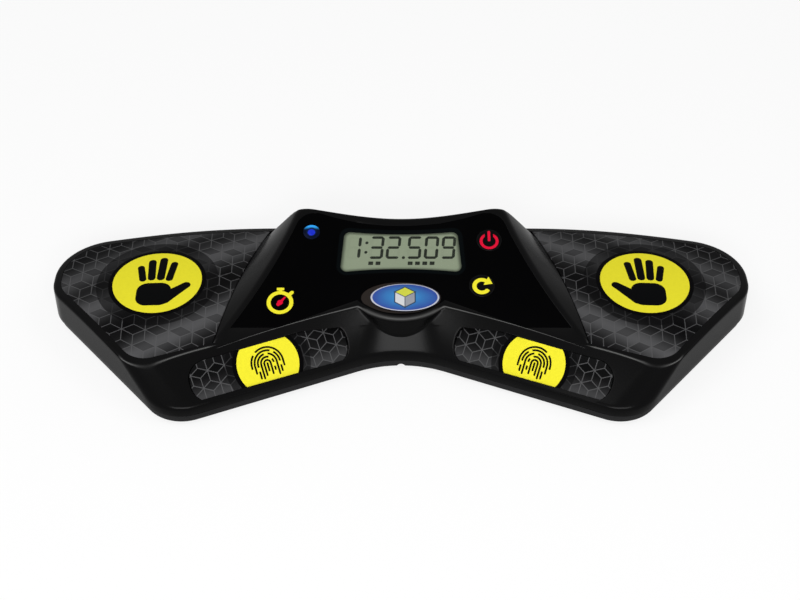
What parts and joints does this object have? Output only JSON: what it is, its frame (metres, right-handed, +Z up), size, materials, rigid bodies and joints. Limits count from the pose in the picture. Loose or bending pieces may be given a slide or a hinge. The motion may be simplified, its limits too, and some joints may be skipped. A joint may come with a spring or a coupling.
{
  "type": "speed cube timer",
  "caption": "Low winged table timer with two hand pads, two finger pads, a tilted display console, two round keys and a sliding battery door.",
  "frame": {"origin": "on the table under the middle of the housing's box, feet resting on z = 0", "axes": "+Z up, +X to the user's right along the longest side, -Y towards the user; the housing is symmetric left to right"},
  "size_m": [0.2888, 0.1, 0.0389],
  "materials": {
    "badge": "satin, silvery rim",
    "base": "matt, fine moulded grain",
    "bezel": "semi-gloss",
    "board": "solder mask",
    "cell": "printed sleeve",
    "copper": "bright copper foil",
    "faceplate": "high gloss",
    "finger_film": "printed, fine-textured film",
    "hand_film": "printed, fine-textured film",
    "key": "high gloss with a printed symbol",
    "lamp": "clear epoxy",
    "lcd": "matt polariser over a grey-green cell",
    "lens": "clear blue",
    "plunger": "moulded",
    "rubber": "matt",
    "shell": "satin, fine moulded grain",
    "socket": "moulded",
    "steel": "zinc plated",
    "switch": "stamped",
    "window": "clear, polished"
  },
  "bodies": {
    "root": {"badge": "badge", "base_shell": "base", "battery_cell_back": "cell", "battery_cell_front": "cell", "battery_coil_back": "steel", "battery_coil_front": "steel", "battery_plate_back": "steel", "battery_plate_front": "steel", "board_screws": "steel", "circuit_board": "board", "data_socket": "socket", "display_frame": "bezel", "display_glass": "lcd", "display_strip_back": "rubber", "display_strip_front": "rubber", "display_window": "window", "faceplate": "faceplate", "finger_electrode_left": "copper", "finger_electrode_right": "copper", "finger_pad_left": "finger_film", "finger_pad_right": "finger_film", "foot_1": "rubber", "foot_2": "rubber", "foot_3": "rubber", "foot_4": "rubber", "foot_5": "rubber", "foot_6": "rubber", "hand_electrode_left": "copper", "hand_electrode_right": "copper", "hand_pad_left": "hand_film", "hand_pad_right": "hand_film", "housing_screws": "steel", "power_switch": "switch", "reset_switch": "switch", "status_lamp": "lamp", "status_light": "lens", "top_shell": "shell"},
    "power_button": {"power_key": "key", "power_plunger": "plunger"},
    "reset_button": {"reset_key": "key", "reset_plunger": "plunger"},
    "battery_cover": {"battery_door": "base"}
  },
  "joints": [
    {"name": "power_press", "type": "slide", "parent": "root", "child": "power_button", "axis": [0, 0.2672, -0.9636], "range_m": [0, 0.0005], "stiffness_N_per_m": 600},
    {"name": "reset_press", "type": "slide", "parent": "root", "child": "reset_button", "axis": [0, 0.2672, -0.9636], "range_m": [0, 0.0005], "stiffness_N_per_m": 600},
    {"name": "battery_door_slide", "type": "slide", "parent": "root", "child": "battery_cover", "axis": [0, 1, 0], "range_m": [0, 0.03]}
  ]
}
